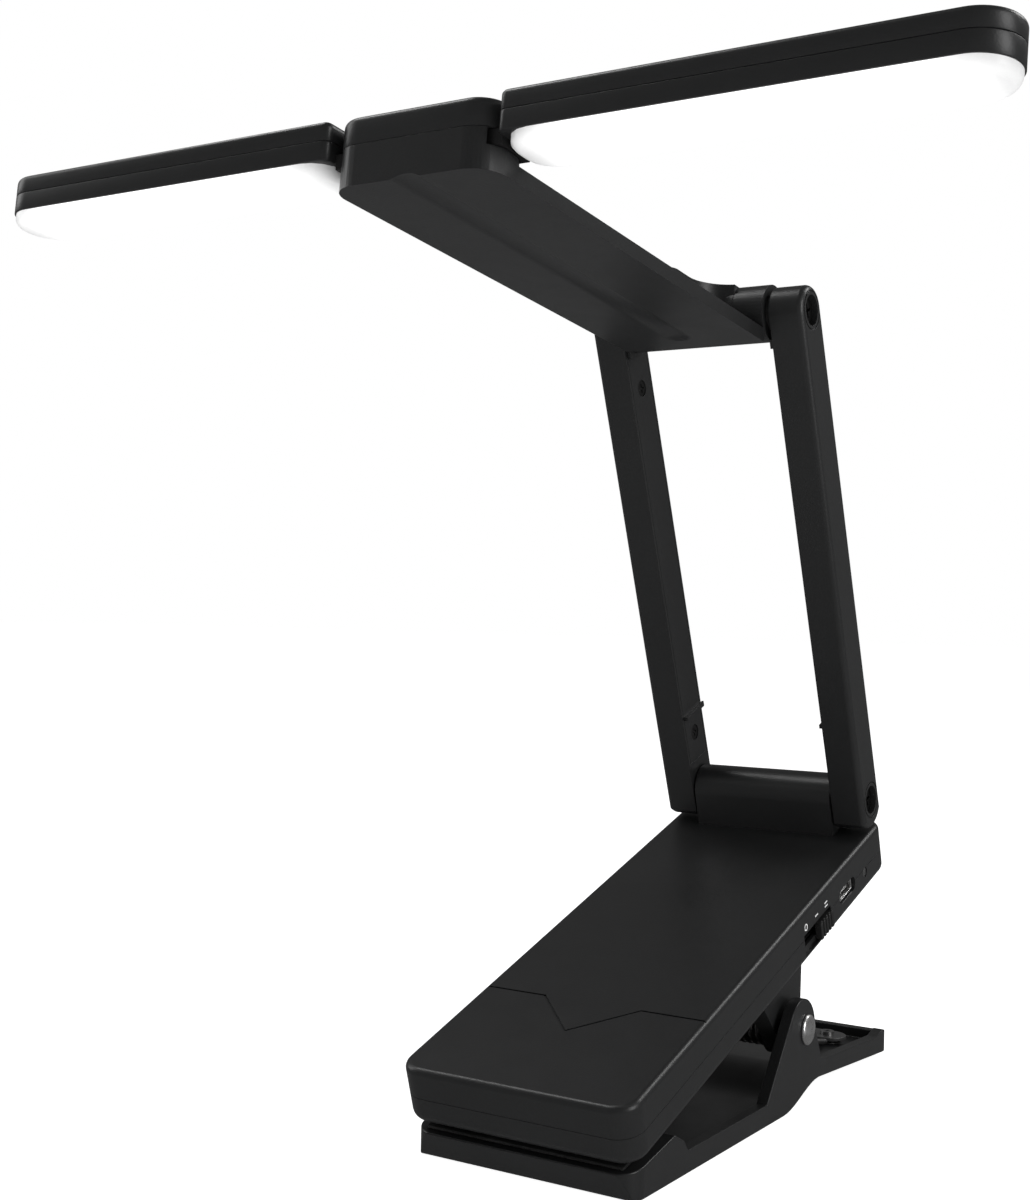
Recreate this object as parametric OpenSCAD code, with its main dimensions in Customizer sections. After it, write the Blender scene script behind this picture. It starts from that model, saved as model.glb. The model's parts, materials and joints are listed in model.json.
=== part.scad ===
// Clip-on reading lamp: a flat battery base held by a sprung clip, a two-armed
// folding frame, a folding neck and two light bars that swing out of its head.
// X runs left to right across the lamp, Y from front to back, Z up. The origin is
// the middle of the flat underside of the clip's jaw, on which the lamp stands.

/* [Base] */
// Width of the base
base_w = 51; // [48:0.5:54]
// Length of the base
base_l = 132.5; // [128:0.5:138]
// Thickness of the base
base_t = 12; // [11.5:0.1:13]
// Radius of the base's upright corners
base_r = 5; // [4:0.5:8]
// Height of the top shell, down to the parting line
top_shell_t = 6.2; // [5.5:0.1:6.5]
// Wall thickness of both base shells
base_wall = 1.8; // [1.5:0.1:2.2]
// Radius of the rounded top edge
top_edge_r = 1.3; // [0.8:0.1:1.5]
// Radius of the rounded bottom edge
bottom_edge_r = 2.2; // [1:0.1:3]
// Distance along the base, from its frame's origin, to the frame's hinge
hinge_y = 124.3; // [122:0.1:125]
// Height of the frame's hinge above the base
hinge_z = 7.6; // [7:0.1:9]
// Radius of the hinge barrel on the base
barrel_r = 5.6; // [5:0.1:6]

/* [Frame] */
// Inner width between the two arms
arm_gap = 35.6; // [35.6:0.1:36]
// Width of one arm
arm_w = 7.65; // [7:0.05:8.5]
// Depth of one arm
arm_d = 10.8; // [10.4:0.1:11]
// Distance between the lower and upper hinge axes
arm_len = 115.5; // [114:0.5:120]
// Forward lean of the frame from square to the base
arm_lean = 3.34; // [0:0.1:8]

/* [Neck] */
// Rise of the neck above the plane of the base
neck_rise = 24.3; // [15:0.1:30]
// Distance from the upper hinge to the front of the head
neck_l = 113.2; // [113:0.1:115]
// Width of the neck and head
neck_w = 33; // [32:0.1:33.4]
// Thickness of the neck plate
plate_t = 2.9; // [2.5:0.1:2.9]
// Height of the upper hinge above the neck's underside
neck_drop = 7.22; // [7:0.1:7.5]
// Height of the head
head_h = 12.4; // [12:0.1:12.6]
// Height of the head's parting line
head_split = 7.2; // [7.1:0.1:7.4]

/* [Light bars] */
// Depth of a light bar from front to back
bar_w = 14; // [13.5:0.1:14]
// Outer end of a light bar, from the middle of the lamp
bar_end = 99.2; // [95:0.5:104]
// Height of a bar's top above the neck's underside
bar_top = 12.6; // [12.4:0.1:13]
// Height of the parting line between a bar's housing and its diffuser
bar_split = 5.6; // [5.4:0.1:5.8]
// Height of the diffuser's lower face
diffuser_low = 3.3; // [3.2:0.1:3.6]
// Distance of each bar's pivot from the middle of the lamp
pivot_x = 9.6; // [9.5:0.1:9.8]

/* [Clip] */
// Angle between the base and the jaw when the clip is shut
clip_angle = 17.9; // [17:0.1:18.5]
// Width of the jaw
jaw_w = 48.4; // [47:0.2:49]
// Thickness of the jaw's floor
jaw_floor_t = 2; // [1.8:0.1:2.4]
// Thickness of the jaw's side walls and ears
jaw_wall = 2.6; // [2.2:0.1:3]
// Radius of the clip's pin
pin_r = 2.2; // [1.8:0.1:2.5]

/* [Hidden] */
$fn = 64;

fit = 0.06;              // radial clearance of a pin that turns
gap = 0.1;               // gap between two shells that meet
cut = 1;                 // how far a cutter runs past the face that it cuts
axle_r = 2;
pad_t = 0.8;             // thickness of the base's grip pad

// The jaw, seen from the side: Y from the middle of its flat underside, and Z.
jaw_front = -33;         // lower front edge
jaw_nose = 2.1;          // how far the upper front edge leans out over it
jaw_flat_end = 33;       // end of the flat underside
jaw_rise_end = 52.5;     // top of the S-bend into the handle
jaw_rise = 4.2;          // height of that bend
jaw_back = 98;           // back of the handle
handle_low = 1.2;        // underside of the handle at its back
pin_y = 44.8;
pin_z = 16.2;
ear_r = 7;
ear_y = pin_y - 2.2;     // middle of the ear's round top
ear_slope = 51.5;        // angle of its front edge
retainer_y = 84;         // strip across the handle that holds the spring's ends
retainer_x = 13.5;       // its two screws
retainer_low = 5.2;
lip_top = 4.4;           // height of the low side walls
nose_top = 5;            // front block: height at its front
block_top = 8.6;         // front block: height at its back
block_back = -18.1;

// Where the base's frame lies, in the jaw's frame: its origin is on the base's top.
base_y = -37.8;
base_z = 18.3;
base_front = -1.5;       // front edge of the base, in the base's frame
// The clip's pin, in the base's frame.
pin_base_y = (pin_y - base_y) * cos(clip_angle) + (pin_z - base_z) * sin(clip_angle);
pin_base_z = (pin_z - base_z) * cos(clip_angle) - (pin_y - base_y) * sin(clip_angle);

arm_in = arm_gap / 2;
arm_out = arm_in + arm_w;
arm_r = arm_d / 2;
pivot_s = neck_l - bar_w / 2;            // from the upper hinge to the bars' pivots
bar_near = pivot_x + 7.7;                // inner end of a bar
block_r = neck_w / 2 - pivot_x;          // the head's back corners, about the pivots
bar_mid_h = (bar_top + bar_split) / 2;   // parting line of a bar's housing

PLASTIC = [0.12, 0.12, 0.125];
DARK = [0.07, 0.07, 0.075];
STEEL = [0.62, 0.62, 0.64];
WHITE = [0.95, 0.95, 0.93];
RUBBER = [0.05, 0.05, 0.05];

// ---- frames -------------------------------------------------------------------

module base_frame() {
    translate([0, base_y, base_z]) rotate([clip_angle, 0, 0]) children();
}

module arm_frame() {
    base_frame() translate([0, hinge_y, hinge_z]) rotate([arm_lean, 0, 0]) children();
}

// Y runs back from the head to the hinge at 0, and Z up from the neck's underside.
module neck_frame() {
    arm_frame() translate([0, 0, arm_len]) rotate([-neck_rise - arm_lean, 0, 0])
        translate([0, 0, -neck_drop]) children();
}

module mirrored_if(flip) {
    mirror([flip ? 1 : 0, 0, 0]) children();
}

module on_both_sides() {
    children();
    mirror([1, 0, 0]) children();
}

// ---- shapes -------------------------------------------------------------------

// A bar along X between two values.
module x_rod(r, x0, x1) {
    translate([x0, 0, 0]) rotate([0, 90, 0]) cylinder(r = r, h = x1 - x0);
}

// A side outline, in Y and Z, drawn out along X.
module x_extrude(x0, x1) {
    translate([x0, 0, 0]) rotate([90, 0, 90]) linear_extrude(x1 - x0) children();
}

// A rectangle with round corners, centred on X, from Y = 0 to l.
module round_rect(w, l, r) {
    translate([-w / 2 + r, 0]) square([w - 2 * r, l]);
    translate([-w / 2, r]) square([w, l - 2 * r]);
    for (x = [-w / 2 + r, w / 2 - r], y = [r, l - r])
        translate([x, y]) circle(r);
}

module round_plate(w, l, t, r) {
    linear_extrude(t) round_rect(w, l, r);
}

// A plate with round corners whose upper edge is rounded too.
module soft_plate(w, l, t, r, e) {
    round_plate(w, l, t - e, r);
    translate([0, e, 0]) round_plate(w - 2 * e, l - 2 * e, t, r - e);
    for (x = [-w / 2 + e, w / 2 - e])
        translate([x, r, t - e]) rotate([-90, 0, 0]) cylinder(r = e, h = l - 2 * r);
    for (y = [e, l - e])
        translate([0, y, t - e]) x_rod(e, -w / 2 + r, w / 2 - r);
    for (x = [-w / 2 + r, w / 2 - r], y = [r, l - r])
        translate([x, y, t - e]) rotate_extrude() translate([r - e, 0]) circle(e);
}

// A screw down along -Z from its head's top at the origin.
module screw(shaft_r, shaft_l, head_r, head_t) {
    difference() {
        union() {
            translate([0, 0, -head_t]) cylinder(r = head_r, h = head_t);
            translate([0, 0, -head_t - shaft_l]) cylinder(r = shaft_r, h = shaft_l + 0.1);
        }
        for (a = [0, 90])
            rotate(a) translate([-head_r * 0.6, -head_r * 0.12, -head_t * 0.6])
                cube([head_r * 1.2, head_r * 0.24, head_t]);
    }
}

// ---- clip ---------------------------------------------------------------------

// Height of the jaw's underside at y: flat, an S-bend up, then down to the handle's end.
function jaw_low(y) =
    y < jaw_flat_end ? 0
    : y < jaw_rise_end
        ? jaw_rise * (1 - cos(180 * (y - jaw_flat_end) / (jaw_rise_end - jaw_flat_end))) / 2
    : jaw_rise - (jaw_rise - handle_low) * (y - jaw_rise_end) / (jaw_back - jaw_rise_end);

BEND = [for (i = [0:10]) jaw_flat_end + (jaw_rise_end - jaw_flat_end) * i / 10];

module jaw_floor_outline() {
    polygon(concat(
        [[jaw_front, 0]],
        [for (y = BEND) [y, jaw_low(y)]],
        [[jaw_back, handle_low], [jaw_back, handle_low + jaw_floor_t]],
        [for (i = [10:-1:0]) [BEND[i], jaw_low(BEND[i]) + jaw_floor_t]],
        [[jaw_front - jaw_nose * jaw_floor_t / nose_top, jaw_floor_t]]));
}

module jaw_block_outline() {
    polygon([
        [jaw_front, 0], [block_back + 5.5, 0], [block_back + 5.5, lip_top],
        [block_back + 3.9, block_top - 2], [block_back, block_top],
        [jaw_front - jaw_nose, nose_top]]);
}

// One side wall with its ear, which rises round the pin, and the handle's low rim.
module jaw_side_outline() {
    polygon(concat(
        [[jaw_front, 0]],
        [for (y = BEND) [y, jaw_low(y)]],
        [[jaw_back, handle_low], [jaw_back, 5.7], [93, 7], [89, 6], [57.1, 7.6],
         [53.6, 8.4], [ear_y + ear_r, pin_z], [ear_y, pin_z],
         [ear_y - ear_r * sin(ear_slope), pin_z + ear_r * cos(ear_slope)], [24.3, lip_top],
         [block_back, lip_top], [jaw_front - jaw_nose * lip_top / nose_top, lip_top]]));
    translate([ear_y, pin_z]) circle(ear_r);
}

module clip_jaw() {
    color(PLASTIC) difference() {
        intersection() {
            union() {
                x_extrude(-jaw_w / 2, jaw_w / 2) jaw_floor_outline();
                x_extrude(-jaw_w / 2, jaw_w / 2) jaw_block_outline();
                on_both_sides()
                    x_extrude(jaw_w / 2 - jaw_wall, jaw_w / 2) jaw_side_outline();
                translate([-jaw_w / 2, jaw_back - jaw_wall, handle_low])
                    cube([jaw_w, jaw_wall, 4.5]);
                // posts under the spring's retainer
                for (x = [-retainer_x, retainer_x])
                    translate([x, retainer_y, 3]) cylinder(r = 3.2, h = retainer_low - 3);
            }
            // round upright corners at the nose and at the handle's end
            translate([0, jaw_front - jaw_nose - 0.1, -cut])
                round_plate(jaw_w, jaw_back - jaw_front + jaw_nose + 0.2, 40, 5);
        }
        translate([0, pin_y, pin_z]) x_rod(pin_r + fit, -jaw_w, jaw_w);
        for (x = [-retainer_x, retainer_x])
            translate([x, retainer_y, 0]) cylinder(r = 0.9, h = 20);
    }
}

// Height at y of a plane that lies below the base's top by a depth.
function below_base(y, depth) =
    base_z + (y - base_y) * tan(clip_angle) - depth / cos(clip_angle);

// The soft wedge between the jaw's nose and the base's own pad.
module jaw_pad() {
    pad_front = jaw_front - 0.6;
    pad_back = block_back - 0.4;
    pad_clear = base_t + pad_t + 0.3;
    slope = (block_top - nose_top) / (block_back - jaw_front + jaw_nose);
    seat_front = nose_top + slope * (pad_front - jaw_front + jaw_nose);
    seat_back = nose_top + slope * (pad_back - jaw_front + jaw_nose);
    color(RUBBER) x_extrude(-jaw_w / 2 + 2.6, jaw_w / 2 - 2.6) polygon([
        [pad_front, seat_front + 0.02], [pad_back, seat_back + 0.02],
        [pad_back, below_base(pad_back, pad_clear)],
        [pad_front, below_base(pad_front, pad_clear)]]);
}

module clip_pin() {
    head_r = 3.9;
    head_x = jaw_w / 2 + 0.05;
    color(STEEL) translate([0, pin_y, pin_z]) {
        x_rod(pin_r, -head_x - 0.1, head_x + 0.1);
        on_both_sides() {
            x_rod(head_r, head_x, head_x + 0.7);
            translate([head_x + 0.7, 0, 0]) rotate([0, 90, 0])
                cylinder(r1 = head_r, r2 = head_r - 1.2, h = 0.5);
        }
    }
}

// A strip with round ends across the handle, screwed to two posts.
module spring_retainer() {
    r = 4;
    end_x = 14;
    color([0.3, 0.3, 0.31]) difference() {
        translate([0, retainer_y, retainer_low]) linear_extrude(0.8) {
            translate([-end_x, -r]) square([2 * end_x, 2 * r]);
            for (x = [-end_x, end_x]) translate([x, 0]) circle(r);
        }
        for (x = [-retainer_x, retainer_x])
            translate([x, retainer_y, 0]) cylinder(r = 0.9, h = 20);
    }
}

module retainer_screws() {
    color(STEEL) for (x = [-retainer_x, retainer_x])
        translate([x, retainer_y, retainer_low + 1.6]) screw(0.88, 2, 1.6, 0.8);
}

// Two short coils round the pin, each with a leg to the jaw and one to the base.
module clip_spring() {
    wire_r = 0.7;
    coil_r = 4.2;
    turns = 5;
    pitch = 1.36;
    color(DARK) on_both_sides() translate([8, pin_y, pin_z]) {
        for (i = [0:turns])
            translate([i * pitch, 0, 0]) rotate([0, 90, 0])
                rotate_extrude() translate([coil_r, 0]) circle(wire_r);
        // lower leg, back along the handle's floor
        translate([turns * pitch, 0.6, -coil_r]) rotate([-101.3, 0, 0])
            cylinder(r = wire_r, h = 34.6);
        // upper leg, back and up to the base's underside
        translate([0, -0.6, coil_r]) rotate([-48, 0, 0])
            cylinder(r = wire_r, h = 25.5);
    }
}

// ---- base ---------------------------------------------------------------------

usb_y = 104.8;
usb_z = -6.5;
switch_y = 86.7;
switch_z = -7.8;
switch_l = 15.4;
switch_h = 5;
knob_l = 7.4;
knob_h = 3.75;
light_y = 116.2;
light_z = -7.2;
board_top = -9;
screw_x = 19.4;
screw_ys = [11, 117.5];
bolt_r = 1.3;

module seam_line() {
    w = 0.45;
    half = 11;
    y0 = 31.6;
    y1 = 20.3;
    slant = sqrt(half * half + (y0 - y1) * (y0 - y1));
    for (m = [0, 1]) mirror([m, 0]) {
        translate([half, y0 - w / 2]) square([base_w / 2 - half + cut, w]);
        translate([0, y1]) rotate(atan2(y0 - y1, half))
            translate([-w / 2, -w / 2]) square([slant + w, w]);
    }
}

// What the right-hand wall of both shells lets through.
module side_openings() {
    wall_x = base_w / 2;
    x_extrude(wall_x - 4, wall_x + 2)
        translate([usb_y, usb_z - 1.65]) round_rect(9.7, 3.3, 1.4);
    translate([wall_x - 1, switch_y - switch_l / 2, switch_z - switch_h / 2])
        cube([3, switch_l, switch_h]);
    translate([wall_x - 4, switch_y - switch_l / 2 + 2, switch_z - 1.2])
        cube([6, switch_l - 4, 2.4]);
    translate([0, light_y, light_z]) x_rod(1.25, wall_x - 4, wall_x + 2);
}

module screw_places(z) {
    for (x = [-screw_x, screw_x], y = screw_ys)
        translate([x, y, z]) children();
}

module base_top_shell() {
    inner_w = base_w - 2 * base_wall;
    inner_l = base_l - 2 * base_wall;
    color(PLASTIC) base_frame() difference() {
        union() {
            difference() {
                translate([0, base_front, -top_shell_t])
                    soft_plate(base_w, base_l, top_shell_t, base_r, top_edge_r);
                translate([0, base_front + base_wall, -top_shell_t - cut])
                    round_plate(inner_w, inner_l, top_shell_t + cut - base_wall,
                        base_r - base_wall);
                translate([0, 0, -0.3]) linear_extrude(cut) seam_line();
            }
            // barrel that the frame turns on, on its pedestal
            translate([0, hinge_y, hinge_z]) x_rod(barrel_r, -17.3, 17.3);
            translate([-17.3, hinge_y - barrel_r, -1])
                cube([34.6, 2 * barrel_r, hinge_z + 1]);
            screw_places(-top_shell_t + gap)
                cylinder(r = 3, h = top_shell_t - base_wall);
        }
        translate([0, hinge_y, hinge_z]) x_rod(axle_r + fit, -20, 20);
        screw_places(-top_shell_t - cut) cylinder(r = bolt_r, h = 5.5);
        side_openings();
    }
}

module lug_outline() {
    polygon([
        [63.5, -base_t + 0.5], [89.5, -base_t + 0.5],
        [pin_base_y + 6, pin_base_z], [pin_base_y - 6, pin_base_z]]);
    translate([pin_base_y, pin_base_z]) circle(6);
}

module base_bottom_shell() {
    shell_h = base_t - top_shell_t - gap;
    inner_w = base_w - 2 * base_wall;
    inner_l = base_l - 2 * base_wall;
    color(PLASTIC) base_frame() difference() {
        union() {
            difference() {
                translate([0, base_front, -top_shell_t - gap]) mirror([0, 0, 1])
                    soft_plate(base_w, base_l, shell_h, base_r, bottom_edge_r);
                translate([0, base_front + base_wall, -base_t + base_wall])
                    round_plate(inner_w, inner_l, shell_h, base_r - base_wall);
            }
            // ears that reach down to the clip's pin, inside those of the jaw
            on_both_sides() x_extrude(16.2, 20.2) lug_outline();
            screw_places(-base_t + 0.5) cylinder(r = 3.2, h = shell_h - 0.5);
        }
        translate([0, pin_base_y, pin_base_z]) x_rod(pin_r + 0.02, -30, 30);
        screw_places(-base_t - cut) cylinder(r = bolt_r + 0.15, h = base_t);
        screw_places(-base_t - cut) cylinder(r = 2.6, h = cut + 2);
        side_openings();
    }
}

module base_pad() {
    color(RUBBER) base_frame() translate([0, 3.2, -base_t - pad_t])
        round_plate(base_w - 9, 15, pad_t - 0.02, 2);
}

module base_screws() {
    color(DARK) base_frame() screw_places(-base_t + 0.4) rotate([180, 0, 0])
        screw(bolt_r - 0.02, 6.4, 2.45, 1.55);
}

module battery() {
    color([0.55, 0.57, 0.6]) base_frame() translate([0, 18, -base_t + base_wall + 0.2])
        soft_plate(36, 52, 5.6, 2, 0.8);
}

module circuit_board() {
    board_z = board_top - 1;
    color([0.08, 0.3, 0.16]) base_frame() difference() {
        union() {
            translate([-15, 74, board_z]) cube([36, 46, 1]);
            translate([-8, 84, board_z + 1]) cube([7, 7, 1]);
            translate([-9, 102, board_z + 1]) cube([5, 8, 1.4]);
            for (y = [78, 96, 114]) translate([4, y, board_z + 1]) cube([3, 1.6, 0.8]);
        }
        for (y = screw_ys) translate([screw_x, y, board_z - cut]) cylinder(r = 3.5, h = 3);
    }
}

module usb_socket() {
    color(STEEL) base_frame() translate([0, usb_y, usb_z]) difference() {
        union() {
            translate([base_w / 2 - 7, -3.75, -1.35]) cube([6.5, 7.5, 2.7]);
            for (y = [-3.75, 2.75])
                translate([base_w / 2 - 7, y, board_top - usb_z]) cube([2.5, 1, 1.3]);
        }
        difference() {
            translate([base_w / 2 - 6, -3.4, -1]) cube([6.5, 6.8, 2]);
            translate([base_w / 2 - 6.5, -2.6, -0.3]) cube([5.3, 5.2, 0.7]);
        }
    }
}

module switch_body() {
    color(DARK) base_frame() translate([base_w / 2 - 7.5, switch_y - 5.5, board_top])
        difference() {
            cube([5.2, 11, 4]);
            translate([3.4, 0.4, 0.15]) cube([4, 10.2, 2.2]);
        }
}

// The sliding button, at the bright end of its travel, with its grip ribs.
module switch_knob() {
    rest_y = switch_y + switch_l / 2 - 0.15 - knob_l;
    x0 = base_w / 2 - 0.9;
    color(DARK) base_frame() translate([0, rest_y, switch_z]) {
        difference() {
            translate([x0, 0, -switch_h / 2 + 0.25]) cube([1.6, knob_l, knob_h]);
            for (i = [0:3])
                translate([x0 + 1.2, 1.1 + i * 1.5, -switch_h]) cube([cut, 0.7, 2 * switch_h]);
        }
        translate([x0 - 2.8, knob_l / 2 - 0.9, -0.95]) cube([2.9, 1.8, 1.9]);
    }
}

module charge_light() {
    color([0.5, 0.5, 0.5]) base_frame() translate([0, light_y, light_z])
        x_rod(1.2, base_w / 2 - 3, base_w / 2 - 0.25);
}

// ---- frame --------------------------------------------------------------------

arm_end_r = 6.9;         // arc of an arm's lower end, about the hinge

// A length of one arm, with its two outer edges rounded by e.
module arm_bar(e, low, high) {
    h = high - low;
    translate([arm_in, -arm_r, low]) cube([arm_w - e, arm_d, h]);
    translate([arm_in, -arm_r + e, low]) cube([arm_w, arm_d - 2 * e, h]);
    for (y = [-arm_r + e, arm_r - e])
        translate([arm_out - e, y, low]) cylinder(r = e, h = h);
}

// A disc of radius r about a hinge, as wide as an arm, with its outer edge rounded.
module arm_disc(r, e) {
    x_rod(r, arm_in, arm_out - e);
    x_rod(r - e, arm_in, arm_out);
    translate([arm_out - e, 0, 0]) rotate([0, 90, 0])
        rotate_extrude() translate([r - e, 0]) circle(e);
}

// An arm without its holes: round about both hinges.
module arm_blank(e) {
    arm_bar(e, 0, arm_len);
    translate([0, 0, arm_len]) arm_disc(arm_r, e);
    intersection() {
        arm_bar(e, -arm_end_r, 1);
        arm_disc(arm_end_r, e);
    }
}

cover_low = 8;           // the inner cover's ends, along the arm
cover_high = 110.8;
cover_d = arm_d - 1.6;
cover_t = 1.2;
cover_screw_zs = [14.7, 100.9];
screw_depth = 1.1;       // from an arm's outer face to its axle screws' heads

module right_arm_solid() {
    difference() {
        arm_blank(1.4);
        for (z = [0, arm_len]) translate([0, 0, z]) {
            x_rod(axle_r + 0.02, 0, arm_out - 3.1);
            x_rod(1.1, 0, arm_out);
            // recess for the screw, with a ring round it
            x_rod(3.3, arm_out - screw_depth - 1.1, arm_out + cut);
            difference() {
                x_rod(4.25, arm_out - 0.3, arm_out + cut);
                x_rod(3.95, arm_out - 0.5, arm_out + cut);
            }
        }
        // seat of the inner cover, and the hollow behind it
        translate([arm_in - cut, -cover_d / 2, cover_low])
            cube([cut + cover_t, cover_d, cover_high - cover_low]);
        translate([arm_in, -3.4, 18]) cube([5.6, 6.8, 78]);
        for (z = cover_screw_zs) translate([0, 0, z]) x_rod(0.9, 0, arm_in + 5);
    }
}

module right_cover_solid() {
    d = cover_d - 0.2;
    low = cover_low + gap;
    high = cover_high - gap;
    difference() {
        union() {
            translate([arm_in, -d / 2, low]) cube([cover_t - 0.05, d, high - low]);
            // ledge under the neck, and the fin that catches the folded head
            translate([arm_in - 0.95, -d / 2, high - 2]) cube([1.2, d - 1.5, 2]);
            translate([arm_in, 0, 19.6]) linear_extrude(0.9) polygon([
                [0.1, -d / 2], [-1, -d / 2], [-1, arm_r - 0.4], [-0.5, arm_r + 0.6],
                [-0.05, arm_r + 0.6], [-0.05, d / 2], [0.1, d / 2]]);
        }
        for (z = cover_screw_zs) translate([0, 0, z]) {
            x_rod(0.9, 0, arm_out);
            x_rod(1.9, 0, arm_in + 0.55);
        }
    }
}

module left_arm() { color(PLASTIC) arm_frame() mirror([1, 0, 0]) right_arm_solid(); }
module right_arm() { color(PLASTIC) arm_frame() right_arm_solid(); }
module left_arm_cover() { color(PLASTIC) arm_frame() mirror([1, 0, 0]) right_cover_solid(); }
module right_arm_cover() { color(PLASTIC) arm_frame() right_cover_solid(); }

module arm_cover_screws() {
    color(DARK) arm_frame() on_both_sides() for (z = cover_screw_zs)
        translate([arm_in + 0.15, 0, z]) rotate([0, -90, 0]) screw(0.88, 3.6, 1.75, 0.38);
}

module axle() {
    difference() {
        x_rod(axle_r, -arm_out + 3.2, arm_out - 3.2);
        on_both_sides() x_rod(1.1, arm_out - 9, arm_out);
    }
}

module lower_axle() { color(STEEL) arm_frame() axle(); }
module upper_axle() { color(STEEL) arm_frame() translate([0, 0, arm_len]) axle(); }

module axle_screws() {
    color(DARK) arm_frame() on_both_sides() for (z = [0, arm_len])
        translate([arm_out - screw_depth, 0, z]) rotate([0, 90, 0]) screw(1.08, 6, 2.7, 1.1);
}

module hinge_washers() {
    color(DARK) arm_frame() on_both_sides() {
        difference() {
            x_rod(4.3, 17.36, arm_in - 0.03);
            x_rod(axle_r + 0.03, 0, arm_out);
        }
        translate([0, 0, arm_len]) difference() {
            x_rod(4.3, neck_w / 2 + 0.16, arm_in - 0.03);
            x_rod(axle_r + 0.03, 0, arm_out);
        }
    }
}

// ---- neck ---------------------------------------------------------------------

knuckle_in = 9.5;
groove_r = 7;
groove_axis = -6.3;
knuckle_r = 6.15;
front_r = 5.5;           // upright corners at the head's front
spine_w = 2.4;           // half width of the ridge between the folded bars
nest_r = 8.2;            // hollows that the bars' round ends lie in
nest_s = 13.2;
cover_screw_s = 14;

// The head seen from above, d in from its edge: its back corners turn about the
// bars' pivots.
module head_outline(d = 0) {
    w = neck_w / 2 - d;
    front = neck_l - d;
    r = front_r - d;
    back_r = block_r - d;
    translate([-pivot_x, -front]) square([2 * pivot_x, front - pivot_s + back_r]);
    translate([-w, -front + r]) square([2 * w, front - r - pivot_s]);
    translate([-w + r, -front]) square([2 * (w - r), r]);
    for (x = [-w + r, w - r]) translate([x, -front + r]) circle(r);
    for (x = [-pivot_x, pivot_x]) translate([x, -pivot_s]) circle(back_r);
}

// Room for one bar's tongue to swing from its side to the back.
module tongue_room() {
    r = 5.5;
    translate([pivot_x, -pivot_s]) circle(r);
    translate([pivot_x - r, -pivot_s]) square([30, 30]);
    translate([pivot_x, -pivot_s - r]) square([30, 30]);
}

module neck_shell() {
    color(PLASTIC) neck_frame() difference() {
        union() {
            difference() {
                union() {
                    translate([-neck_w / 2, -pivot_s, 0])
                        cube([neck_w, pivot_s - 3.9, plate_t]);
                    linear_extrude(head_split) head_outline();
                }
                translate([0, 0, neck_drop]) x_rod(knuckle_r + 0.1, -knuckle_in, knuckle_in);
            }
            on_both_sides() translate([0, 0, neck_drop])
                x_rod(knuckle_r, knuckle_in, neck_w / 2 + 0.1);
        }
        translate([0, 0, neck_drop]) x_rod(axle_r + fit, -30, 30);
        // shallow round groove along the underside
        translate([0, -12, groove_axis]) {
            rotate([90, 0, 0]) cylinder(r = groove_r, h = neck_l);
            sphere(groove_r);
        }
        on_both_sides() {
            translate([0, 0, 4.3]) linear_extrude(10) tongue_room();
            translate([pivot_x, -pivot_s, 1.5]) cylinder(r = 2.2, h = 10);
        }
        // holes for the screws of both covers
        translate([0, -pivot_s, 2]) cylinder(r = 0.9, h = 12);
        translate([0, -cover_screw_s, 1.2]) cylinder(r = 0.9, h = 3);
    }
}

module hinge_cover() {
    top = 12.8;
    color(PLASTIC) neck_frame() difference() {
        union() {
            translate([0, 0, neck_drop])
                x_rod(knuckle_r, -knuckle_in + 0.08, knuckle_in - 0.08);
            translate([0, 0, plate_t + 0.05]) linear_extrude(top - plate_t) difference() {
                union() {
                    translate([-knuckle_in + 0.08, -nest_s])
                        square([2 * knuckle_in - 0.16, nest_s]);
                    translate([-spine_w, -18.6]) square([2 * spine_w, 10]);
                    translate([0, -18.6]) circle(spine_w);
                }
                for (x = [-spine_w - nest_r, spine_w + nest_r])
                    translate([x, -nest_s]) circle(nest_r);
            }
        }
        translate([0, 0, neck_drop]) x_rod(axle_r + fit, -30, 30);
        translate([0, -cover_screw_s, 0]) cylinder(r = 0.9, h = 12);
        translate([0, -cover_screw_s, top - 1.5]) cylinder(r = 1.8, h = 3);
    }
}

module hinge_cover_screws() {
    color(DARK) neck_frame() translate([0, -cover_screw_s, 12.5])
        screw(0.88, 8.9, 1.7, 1.15);
}

module head_cover() {
    h = head_h - head_split - gap;
    e = 0.9;
    color(PLASTIC) neck_frame() difference() {
        translate([0, 0, head_split + gap]) {
            linear_extrude(h - e) head_outline();
            linear_extrude(h) head_outline(e);
        }
        on_both_sides() translate([pivot_x, -pivot_s, 0]) cylinder(r = 2.2, h = 10.4);
        translate([0, -pivot_s, 0]) cylinder(r = 0.9, h = 20);
        translate([0, -pivot_s, head_h - 1.6]) cylinder(r = 1.8, h = 3);
    }
}

module head_screws() {
    color(DARK) neck_frame() translate([0, -pivot_s, head_h - 0.4])
        screw(0.88, 8.5, 1.7, 1.15);
}

module bar_pivots() {
    color(STEEL) neck_frame() on_both_sides()
        translate([pivot_x, -pivot_s, 1.55]) cylinder(r = 2.18, h = 8.8);
}

// ---- light bars ---------------------------------------------------------------

// A bar seen from above, d in from its edge: square inner end, round outer end.
module bar_outline(d) {
    r = bar_w / 2 - d;
    far = bar_end - bar_w / 2;
    near = bar_near + d;
    c = 1.2;
    translate([0, -pivot_s]) {
        translate([near + c, -r]) square([far - near - c, 2 * r]);
        translate([near, -r + c]) square([far - near, 2 * (r - c)]);
        for (y = [-r + c, r - c]) translate([near + c, y]) circle(c);
        translate([far, 0]) circle(r);
    }
}

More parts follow.
